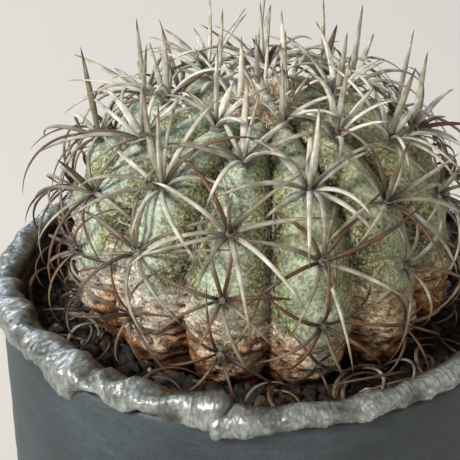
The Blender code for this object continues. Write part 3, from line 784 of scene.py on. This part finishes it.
fuzzLook = {
    "felt": {"Count": 3200, "Length": 1.3 * mm, "Thickness": 0.09 * mm, "Curl": 0.9, "Seed": 4},
    "wool": {"Count": 3600, "Length": 2.6 * mm, "Thickness": 0.10 * mm, "Curl": 1.2, "Seed": 9},
}
feltLook = {"stretch": 1.15, "height": 1.25 * mm, "lift": 0.15 * mm}
woolLook = {"columns": 48, "rows": 12, "lift": 0.4 * mm, "dome": 4.3 * mm, "matting": 0.7 * mm}


def fuzzTree(finish):
    # short bent hairs on a surface, which stays under them
    sizes = dict.fromkeys(("Count", "Length", "Thickness", "Curl"), "Float")
    tree, entry = newTree("fuzzOnSurface", {**sizes, "Seed": "Int"})
    spots = scatter(tree, entry, entry["Count"], {})
    # one hair of length 1, bent over to the side
    hair = addNode(tree, "GeometryNodeCurvePrimitiveBezierSegment",
                   {"Resolution": 4, "Start": (0, 0, 0), "Start Handle": (0, 0, 0.4),
                    "End Handle": (0.3, 0, 0.9), "End": (0.75, 0.1, 1.0)})
    length = addNode(tree, "ShaderNodeCombineXYZ", dict.fromkeys("XYZ", entry["Length"]))
    grown = addNode(tree, "GeometryNodeTransform", {"Geometry": hair, "Scale": length})
    strand = addNode(tree, "GeometryNodeCurvePrimitiveCircle",
                     {"Resolution": 3, "Radius": entry["Thickness"]})
    body = addNode(tree, "GeometryNodeCurveToMesh",
                   {"Fill Caps": True, "Curve": grown, "Profile Curve": strand})
    tilt = addNode(tree, "FunctionNodeRandomValue",
                   {"data_type": "FLOAT_VECTOR", 0: (-1, -1, -3.1), 1: (1, 1, 3.1), "Seed": entry["Seed"]})
    swirl = addNode(tree, "ShaderNodeVectorMath", {"operation": "SCALE", 0: tilt, "Scale": entry["Curl"]})
    turned = addNode(tree, "FunctionNodeRotateEuler",
                     {"space": "LOCAL", "Rotation": spots.outputs["Rotation"], "Rotate By": swirl})
    size = addNode(tree, "FunctionNodeRandomValue",
                   {"data_type": "FLOAT", 2: 0.6, 3: 1.25, "Seed": entry["Seed"]})
    placed = addNode(tree, "GeometryNodeInstanceOnPoints",
                     {"Points": spots, "Instance": body, "Rotation": turned, "Scale": size})
    joined = addNode(tree, "GeometryNodeJoinGeometry", {"Geometry": placed})
    tree.links.new(entry["Geometry"], joined.inputs["Geometry"])
    return endTree(tree, joined, finish)


def makeFelt(finish):
    # a small woolly pad under every cluster
    shell = bmesh.new()
    for _, azimuth, psi, _ in areoles():
        point, outward, upward, side = areoleFrame(azimuth, psi)
        axes = np.stack([side * spineLook["pad"], upward * spineLook["pad"] * feltLook["stretch"],
                         outward * feltLook["height"]], 1)
        for vertex in bmesh.ops.create_icosphere(shell, subdivisions=2, radius=1)["verts"]:
            local = axes @ np.array(vertex.co) + point + outward * feltLook["lift"]
            vertex.co = Vector(toWorld([local])[0])
    mesh = bpy.data.meshes.new("areoleFeltBase")
    shell.to_mesh(mesh)
    shell.free()
    mesh.shade_smooth()
    piece = runTree("areoleFelt", addPiece("areoleFeltBase", mesh), fuzzTree(finish), fuzzLook["felt"])
    dress(piece, None, "wool")


def makeWool(finish):
    # a low dome of matted wool in the crown's dip, under its hairs
    radius = (woolHigh.x - woolLow.x) / 2
    base = stemLook["rise"] - stemLook["crownDip"] + woolLook["lift"]
    azimuth = np.linspace(0, math.tau, woolLook["columns"], endpoint=False)
    rows = []
    for share in np.linspace(0.1, 1, woolLook["rows"]):
        height = woolLook["dome"] * math.sqrt(max(0.0, 1 - share ** 2.2))
        row = ringPoints(azimuth, radius * share, base + height)
        row[:, 2] += woolLook["matting"] * latticeNoise(row, 2.5 * mm, 31) * (1 - share)
        rows.append(toWorld(row))
    top, under = toWorld([[0, 0, base + woolLook["dome"]], [0, 0, base]])
    dome = gridMesh("crownWoolBase", rows, top, under)
    piece = runTree("crownWool", dome, fuzzTree(finish), fuzzLook["wool"])
    dress(piece, None, "wool", "crown_wool")


def mattedWool(name, light, dark):
    # plant wool: fine dull hairs, lighter where they stand up, in tufts about 1.5 mm across
    finish, tree, shader, place = newMaterial(name)
    tuft = addNode(tree, "ShaderNodeTexNoise", {"Scale": 700, "Detail": 3, "Vector": place})
    colour = addNode(tree, "ShaderNodeValToRGB", {"Fac": tuft, "stops": [(0.35, dark), (0.65, light)]})
    setUp(tree, shader, {"Base Color": colour, "Roughness": 0.95, "Sheen Weight": 0.4})
    return finish


# Pot and rim

potLook = {
    "columns": 256, "wall": 5.5 * mm, "taper": 3 * mm, "floor": 10 * mm, "recess": 2.5 * mm,
    "drain": 7 * mm, "footRing": 7 * mm,
    "throwMarks": 0.14 * mm, "unevenness": 0.35 * mm, "turnedIn": 0.4 * mm,
}


def makePot(finish):
    # the turned pot, as one outline from the foot ring up the outside and down the inside; its edges are
    # softened by 0.3 to 2 mm
    radius, height, wall, drain = potHigh.x, potHigh.z, potLook["wall"], potLook["drain"]
    floorZ, recess, foot = potLook["floor"], potLook["recess"], radius - potLook["taper"]
    outline = [(foot - 1.6 * mm, 0), (foot - 0.6 * mm, 0.3 * mm), (foot, 1.5 * mm)]
    for share in np.linspace(0.03, 0.985, 60):
        outline.append((foot + (radius - foot) * share, height * share))
    outline += [(radius - 0.8 * mm, height - 0.3 * mm), (radius - 2 * mm, height)]
    outline += [(radius - wall + 2 * mm, height), (radius - wall + 0.6 * mm, height - 0.4 * mm)]
    for share in np.linspace(0.97, 0.17, 24):
        outline.append((foot + (radius - foot) * share - wall, height * share))
    outline += [(foot - wall - 1.5 * mm, floorZ + 1.2 * mm), (foot - wall - 5 * mm, floorZ)]
    outline += [(drain + 0.6 * mm, floorZ), (drain, floorZ - 0.6 * mm)]
    outline += [(drain, recess + 0.6 * mm), (drain + 0.6 * mm, recess)]
    inner = foot - potLook["footRing"]
    outline += [(inner - 0.4 * mm, recess), (inner, recess - 0.4 * mm), (inner + 0.4 * mm, 0)]
    azimuth = math.tau * np.arange(potLook["columns"]) / potLook["columns"]
    rows = []
    for r, z in outline:
        ring = ringPoints(azimuth, r, z)
        outside = 1.0 if r > foot - 0.2 * mm and 3 * mm < z < height - 1 * mm else 0.0
        marks = potLook["throwMarks"] * latticeNoise(ring * [0.12, 0.12, 1], 2.6 * mm, 41)
        swell = potLook["unevenness"] * latticeNoise(ring, 34 * mm, 42)
        ring[:, :2] *= (1 + outside * (marks + swell - potLook["turnedIn"])[:, None] / r)
        rows.append(ring)
    # the outline turns inwards after its highest point
    turning = int(np.argmax(np.array(outline)[:, 1]))
    inside = np.repeat(np.arange(len(outline)) > turning + 1, len(azimuth)).astype(float)
    piece = gridMesh("clayPot", rows, wrapRows=True, fields={"inside": inside})
    dress(piece, finish, "pot_clay", "pot")


def slateSlip():
    # fired stoneware under a thin matt slate slip: dull blue-grey, clouded and brushed, with fine grog
    finish, tree, shader, place = newMaterial("mattSlateSlip")
    # clouds about 25 mm across, and grog under 1 mm
    cloud = addNode(tree, "ShaderNodeTexNoise",
                    {"Scale": 38, "Detail": 5, "Roughness": 0.6, "Vector": place})
    grog = addNode(tree, "ShaderNodeTexNoise", {"Scale": 1400, "Detail": 2, "Vector": place})
    # strokes of a wide brush, about 15 mm long and 3 mm high
    strokes = addNode(tree, "ShaderNodeMapping", {"Scale": (60, 60, 330), "Vector": place})
    brushed = addNode(tree, "ShaderNodeTexNoise",
                      {"Scale": 1.0, "Detail": 4, "Roughness": 0.65, "Distortion": 0.8, "Vector": strokes})
    slip = addNode(tree, "ShaderNodeMath", {"operation": "MULTIPLY_ADD", 0: brushed, 1: 0.55, 2: -0.275})
    tint = addNode(tree, "ShaderNodeMath", {"operation": "ADD", 0: cloud, 1: slip})
    slate = addNode(tree, "ShaderNodeValToRGB", {"Fac": tint, "stops": [
        (0.3, "#283136"), (0.5, "#323d43"), (0.7, "#3f4b51")]})
    speck = addNode(tree, "ShaderNodeValToRGB",
                    {"Fac": grog, "stops": [(0.36, "#a8a8a8"), (0.5, "#ffffff")]})
    # the slip stops at the mouth: the inside is the bare brown body
    inside = addNode(tree, "ShaderNodeAttribute", {"attribute_name": "inside"}).outputs["Fac"]
    body = addNode(tree, "ShaderNodeMix", {**mixing, 0: inside, 6: slate, 7: hexColor("#4e4130")})
    colour = addNode(tree, "ShaderNodeMix", {**multiplying, 0: 0.5, 6: body, 7: speck})
    rough = addNode(tree, "ShaderNodeMapRange", {"To Min": 0.48, "To Max": 0.66, "Value": cloud})
    bump = addNode(tree, "ShaderNodeBump", {"Strength": 0.25, "Distance": 0.1 * mm, "Height": grog})
    setUp(tree, shader, {"Base Color": colour, "Roughness": rough, "Normal": bump})
    return finish


rimLook = {
    "rings": 1440, "sides": 48, "seam": math.radians(-9), "radius": 66.5 * mm, "halfWidth": 3.55 * mm,
    "halfHeight": 2.55 * mm, "bed": 96.2 * mm, "overlap": math.radians(4), "rounding": math.radians(2.2),
    "stepUp": 2.0 * mm, "stepDown": 2.4 * mm, "stepOut": 1.5 * mm, "stepLength": math.radians(19),
    # the front left is thick and folded, with runs of glaze down the pot; the rest is flatter
    "heavyAt": math.radians(-42), "heavySpan": math.radians(46), "slimness": 0.88, "heavySwell": 0.33,
    # swells round the coil: depth, number, start; and how square its section is
    "swells": ((0.07, 7, 0.6), (0.05, 12, 2.1)), "squareness": 0.85,
    # the depth and the spacing of each relief
    "lumps": (1.0 * mm, 8 * mm), "knobs": (1.1 * mm, 6.6 * mm), "folds": (0.55 * mm, 3.0 * mm),
    "grain": (0.13 * mm, 1.4 * mm), "crinkles": (0.05 * mm, 1.7 * mm), "runs": (5.0 * mm, 5 * mm),
}


def makeRim(finish):
    # one hand-laid coil, once round, whose end laps over its start
    travel = np.linspace(0, math.tau + rimLook["overlap"], rimLook["rings"])[:, None]
    azimuth = rimLook["seam"] - rimLook["overlap"] / 2 + travel
    turns = math.tau * np.arange(rimLook["sides"])[None, :] / rimLook["sides"]
    fromEnd = travel[-1] - travel
    starting = np.exp(-travel / rimLook["stepLength"])
    ending = np.exp(-fromEnd / rimLook["stepLength"])
    heavy = np.exp(-(wrapped(azimuth - rimLook["heavyAt"]) / rimLook["heavySpan"]) ** 2)
    fat = rimLook["slimness"] + rimLook["heavySwell"] * heavy
    for swell, number, start in rimLook["swells"]:
        fat = fat + swell * np.cos(number * azimuth + start)
    # each end rounds off
    near = np.minimum(1, np.minimum(travel, fromEnd) / rimLook["rounding"])
    blunt = np.sqrt(np.clip(1 - (1 - near) ** 2, 0.02, 1))
    side, rise = [np.sign(wave) * np.abs(wave) ** rimLook["squareness"]
                  for wave in (np.cos(turns), np.sin(turns))]
    radius = rimLook["radius"] + rimLook["stepOut"] * starting + rimLook["halfWidth"] * fat * blunt * side
    height = rimLook["bed"] + rimLook["halfHeight"] * fat * (1 + blunt * rise)
    height = height + rimLook["stepUp"] * ending * ease(-0.7, 0.2, rise) - rimLook["stepDown"] * starting
    ring = ringPoints(azimuth, radius, height).reshape(-1, 3)
    normal = ringPoints(azimuth, side, rise).reshape(-1, 3)
    normal /= np.linalg.norm(normal, axis=1)[:, None]
    bend = (azimuth + 0 * turns).ravel()
    heavy = (heavy + 0 * turns).ravel()
    inward = np.clip(-(side + 0 * azimuth).ravel(), 0, 1)
    lengthwise = bend * rimLook["radius"]
    depth = {key: rimLook[key][0] for key in ("lumps", "knobs", "folds", "grain", "crinkles", "runs")}
    spacing = {key: rimLook[key][1] for key in depth}
    lump = latticeNoise(ring, spacing["lumps"], 51) + 0.5 * latticeNoise(ring, 15 * mm, 52)
    knob = 1 - 2 * np.abs(latticeNoise(ring, spacing["knobs"], 53))
    grain = latticeNoise(ring, spacing["grain"], 54)
    wave = np.sin(lengthwise / spacing["crinkles"] * math.tau + 4 * latticeNoise(ring, 5 * mm, 55))
    fold = 1 - 2 * np.abs(latticeNoise(ring, spacing["folds"], 58))
    rough = 0.5 + 0.5 * heavy
    shift = depth["lumps"] * lump * rough + depth["knobs"] * (knob - 0.3) * rough
    shift += depth["folds"] * (fold - 0.3) * heavy
    shift += depth["crinkles"] * wave + depth["grain"] * grain
    ring = ring + normal * shift[:, None]
    # runs of glaze hang from the outer side
    drips = latticeNoise(ring * [1, 1, 0.2], spacing["runs"], 57)
    hang = ease(-0.2, 0.8, drips) * (0.12 + 0.88 * heavy)
    ring[:, 2] -= depth["runs"] * hang * np.clip(-normal[:, 2], 0, 1) * (1 - inward)
    # what the glaze reads: hollows, the inner side, and the coil pulled straight
    fields = {
        "hollow": np.clip(0.5 - 0.5 * (0.8 * lump + 0.8 * knob), 0, 1) + 0.35 * inward,
        "inward": inward, "lengthwise": lengthwise, "upward": normal[:, 2],
        "sideways": normal[:, 0] * np.sin(bend) - normal[:, 1] * np.cos(bend),
    }
    points = ring.reshape(rimLook["rings"], rimLook["sides"], 3)
    piece = gridMesh("rimCoil", points, points[0].mean(0), points[-1].mean(0), fields=fields)
    dress(piece, finish, "rim_glaze", "rim_coil")


def pewterGlaze():
    # thick lead-grey glaze, crawled and crinkled in the kiln: satin on the knobs, brown and dull in the
    # hollows
    finish, tree, shader, place = newMaterial("crawledPewterGlaze")
    hollow, lengthwise, sideways, upward, inward = [
        addNode(tree, "ShaderNodeAttribute", {"attribute_name": field}).outputs["Fac"]
        for field in ("hollow", "lengthwise", "sideways", "upward", "inward")]
    # clouds about 7 mm across
    cloud = addNode(tree, "ShaderNodeTexNoise",
                    {"Scale": 150, "Detail": 6, "Roughness": 0.68, "Vector": place})
    bent = addNode(tree, "ShaderNodeVectorMath",
                   {"operation": "MULTIPLY_ADD", 0: cloud.outputs["Color"], 1: (3 * mm,) * 3, 2: place})
    # the coil pulled straight: crinkles about 0.9 mm apart run across it
    spaced = addNode(tree, "ShaderNodeMath", {"operation": "MULTIPLY", 0: lengthwise, 1: 1100})
    straight = addNode(tree, "ShaderNodeCombineXYZ", {"X": spaced, "Y": sideways, "Z": upward})
    girth = addNode(tree, "ShaderNodeVectorMath", {"operation": "MULTIPLY", 0: straight, 1: (1, 2.4, 2.4)})
    wavy = addNode(tree, "ShaderNodeVectorMath",
                   {"operation": "MULTIPLY_ADD", 0: cloud.outputs["Color"], 1: (4, 4, 4), 2: girth})
    crinkle = addNode(tree, "ShaderNodeTexVoronoi",
                      {"feature": "SMOOTH_F1", "Scale": 1.0, "Smoothness": 0.5, "Vector": wavy})
    # pores under 1 mm
    pore = addNode(tree, "ShaderNodeTexNoise",
                   {"Scale": 1500, "Detail": 4, "Roughness": 0.7, "Vector": bent})
    shift = addNode(tree, "ShaderNodeMath", {"operation": "MULTIPLY_ADD", 0: cloud, 1: 1.5, 2: -0.84})
    worn = addNode(tree, "ShaderNodeMath", {"operation": "ADD", "use_clamp": True, 0: hollow, 1: shift})
    glaze = addNode(tree, "ShaderNodeValToRGB", {"Fac": worn, "stops": [
        (0.0, "#a6adab"), (0.3, "#7f8685"), (0.55, "#606460"), (0.8, "#51493a"), (1.0, "#382c1a")]})
    shade = addNode(tree, "ShaderNodeValToRGB",
                    {"Fac": crinkle, "stops": [(0.15, "#ffffff"), (0.75, "#8d8a84")]})
    shaded = addNode(tree, "ShaderNodeMix", {**multiplying, 0: 0.7, 6: glaze, 7: shade})
    # brown, unglazed clay shows through on the inner side
    bare = addNode(tree, "ShaderNodeMath", {"operation": "MULTIPLY", 0: inward, 1: 0.8})
    colour = addNode(tree, "ShaderNodeMix", {**mixing, 0: bare, 6: shaded, 7: hexColor("#54432c")})
    rough = addNode(tree, "ShaderNodeMapRange", {"To Min": 0.2, "To Max": 0.52, "Value": worn})
    crinkled = addNode(tree, "ShaderNodeBump",
                       {"Strength": 0.55, "Distance": 0.3 * mm, "invert": True, "Height": crinkle})
    relief = addNode(tree, "ShaderNodeBump",
                     {"Strength": 0.5, "Distance": 0.2 * mm, "Height": pore, "Normal": crinkled})
    setUp(tree, shader, {"Base Color": colour, "Metallic": 0.4, "Roughness": rough, "Normal": relief})
    return finish


# Grit

gritLook = {
    "stones": 2150, "smallest": 1.9 * mm, "largest": 5.4 * mm, "fewLarge": 1.8, "seed": 5, "hueSeed": 77,
    "shapes": 5, "proportions": (1, 0.82, 0.72), "inner": 41 * mm, "wallGap": 5.8 * mm,
    "bedColumns": 160, "bedRows": 18, "bedDrop": 2.4 * mm,
    # depth and size of the coarse and the fine lumps of the bed, and of a stone 1 across
    "bedLumps": (0.9 * mm, 9 * mm, 0.5 * mm, 3 * mm), "stoneLumps": (0.42, 0.42, 0.15, 0.2),
}


def makeStone(index):
    # one broken lava grain, about 1 across before it is scaled
    shell = bmesh.new()
    bmesh.ops.create_icosphere(shell, subdivisions=2, radius=0.5)
    points = np.array([vertex.co[:] for vertex in shell.verts])
    deep, coarse, shallow, fine = gritLook["stoneLumps"]
    size = 1 + deep * latticeNoise(points, coarse, 60 + index)
    size = size + shallow * latticeNoise(points, fine, 70 + index)
    points = points * size[:, None] * np.array(gritLook["proportions"])
    for vertex, place in zip(shell.verts, points):
        vertex.co = Vector(place)
    mesh = bpy.data.meshes.new(f"stone{index}")
    shell.to_mesh(mesh)
    shell.free()
    return addPiece(f"stone{index}", mesh)


def stoneTree(finish, stones):
    # stones scattered over a bed, each turned and sized at random, with the bed under them
    sizes = dict.fromkeys(("Stones", "Smallest", "Largest"), "Float")
    tree, entry = newTree("stonesOnBed", {**sizes, "Seed": "Int"})
    facing = addNode(tree, "GeometryNodeInputNormal")
    split = addNode(tree, "ShaderNodeSeparateXYZ", {0: facing})
    upward = addNode(tree, "ShaderNodeMath", {"operation": "GREATER_THAN", 0: split.outputs["Z"], 1: 0.3})
    spots = scatter(tree, entry, entry["Stones"], {"Selection": upward})
    kinds = addNode(tree, "GeometryNodeJoinGeometry")
    for stone in stones:
        info = addNode(tree, "GeometryNodeObjectInfo", {"As Instance": True, "Object": stone})
        tree.links.new(info.outputs["Geometry"], kinds.inputs["Geometry"])
    spin = addNode(tree, "FunctionNodeRandomValue",
                   {"data_type": "FLOAT_VECTOR", 0: (0, 0, 0), 1: (6.28,) * 3, "Seed": entry["Seed"]})
    lot = addNode(tree, "FunctionNodeRandomValue",
                  {"data_type": "FLOAT", 2: 0.0, 3: 1.0, "Seed": entry["Seed"]})
    skewed = addNode(tree, "ShaderNodeMath", {"operation": "POWER", 0: lot, 1: gritLook["fewLarge"]})
    size = addNode(tree, "ShaderNodeMapRange",
                   {"Value": skewed, "To Min": entry["Smallest"], "To Max": entry["Largest"]})
    hue = addNode(tree, "FunctionNodeRandomValue",
                  {"data_type": "FLOAT", 2: 0.0, 3: 1.0, "Seed": gritLook["hueSeed"]})
    tagged = addNode(tree, "GeometryNodeStoreNamedAttribute",
                     {"data_type": "FLOAT", "domain": "POINT", "Name": "hue", "Geometry": spots,
                      "Value": hue})
    placed = addNode(tree, "GeometryNodeInstanceOnPoints",
                     {"Pick Instance": True, "Points": tagged, "Instance": kinds, "Rotation": spin,
                      "Scale": size})
    joined = addNode(tree, "GeometryNodeJoinGeometry", {"Geometry": placed})
    tree.links.new(entry["Geometry"], joined.inputs["Geometry"])
    return endTree(tree, joined, finish)


def makeGrit(finish):
    # a lumpy ring of bed under the loose stones
    inner, outer = gritLook["inner"], potHigh.x - gritLook["wallGap"]
    azimuth = math.tau * np.arange(gritLook["bedColumns"]) / gritLook["bedColumns"]
    deep, coarse, shallow, fine = gritLook["bedLumps"]
    rows = []
    for share in np.linspace(0, 1, gritLook["bedRows"]):
        row = ringPoints(azimuth, inner + (outer - inner) * share, gritHigh.z - gritLook["bedDrop"])
        row[:, 2] += deep * latticeNoise(row, coarse, 61) + shallow * latticeNoise(row, fine, 62)
        rows.append(row)
    rows += [ringPoints(azimuth, radius, gritLow.z) for radius in (outer, inner)]
    bed = gridMesh("gritBed", rows, wrapRows=True)
    stones = [makeStone(index) for index in range(gritLook["shapes"])]
    inputs = {key.title(): gritLook[key] for key in ("stones", "smallest", "largest", "seed")}
    piece = runTree("lavaGrit", bed, stoneTree(finish, stones), inputs)
    for stone in stones:
        bpy.data.objects.remove(stone)
    dress(piece, None, "lava_grit", "grit")


def lavaGrit():
    # broken lava and baked clay grains: near-black and brown, a few tan, one in a hundred white, all dusty
    # and full of pores about 1 mm across
    finish, tree, shader, place = newMaterial("lavaGrit")
    hue = addNode(tree, "ShaderNodeAttribute", {"attribute_name": "hue"}).outputs["Fac"]
    dust = addNode(tree, "ShaderNodeTexNoise",
                   {"Scale": 900, "Detail": 4, "Roughness": 0.7, "Vector": place})
    stone = addNode(tree, "ShaderNodeValToRGB", {"Fac": hue, "stops": [
        (0.0, "#1d1b19"), (0.45, "#2b2723"), (0.7, "#3a2f25"), (0.9, "#4a3b2d"), (0.985, "#66563f"),
        (0.99, "#d2cdc0")]})
    grey = addNode(tree, "ShaderNodeValToRGB", {"Fac": dust, "stops": [(0.3, "#6e6a66"), (0.7, "#ffffff")]})
    colour = addNode(tree, "ShaderNodeMix", {**multiplying, 0: 0.8, 6: stone, 7: grey})
    bump = addNode(tree, "ShaderNodeBump", {"Strength": 0.8, "Distance": 0.2 * mm, "Height": dust})
    setUp(tree, shader, {"Base Color": colour, "Roughness": 0.9, "Normal": bump})
    return finish


def plainFinish(name, light, dark, roughness, scale):
    # a dull finish with a faint grain, for what hardly shows
    finish, tree, shader, place = newMaterial(name)
    grain = addNode(tree, "ShaderNodeTexNoise", {"Scale": scale, "Detail": 3, "Vector": place})
    tint = addNode(tree, "ShaderNodeValToRGB", {"Fac": grain, "stops": [(0.3, dark), (0.7, light)]})
    setUp(tree, shader, {"Base Color": tint, "Roughness": roughness})
    return finish


def paintNode(name, finish):
    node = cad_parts[name]
    node.data.materials.clear()
    node.data.materials.append(finish)


makeCamera()
makeLights()
makeFloor()
print("stage: camera, light and floor")
makePot(slateSlip())
makeRim(pewterGlaze())
print("stage: pot and rim")
makeGrit(lavaGrit())
# crumbly potting mix with 2 mm crumbs, and moulded black polythene with a fine 1 mm grain
paintNode("soil", plainFinish("pottingMix", "#3b2d22", "#241b14", 0.95, 500))
paintNode("drain_mesh", plainFinish("mouldedPolythene", "#1d1d1d", "#141414", 0.5, 900))
print("stage: grit and soil")
makeStem(waxySkin())
print("stage: stem")
makeSpines(weatheredHorn())
makeFelt(mattedWool("greyFelt", "#8a847a", "#4a4540"))
makeWool(mattedWool("apricotWool", "#f4e8d4", "#dfc8a4"))
print("stage: spines, felt and wool")
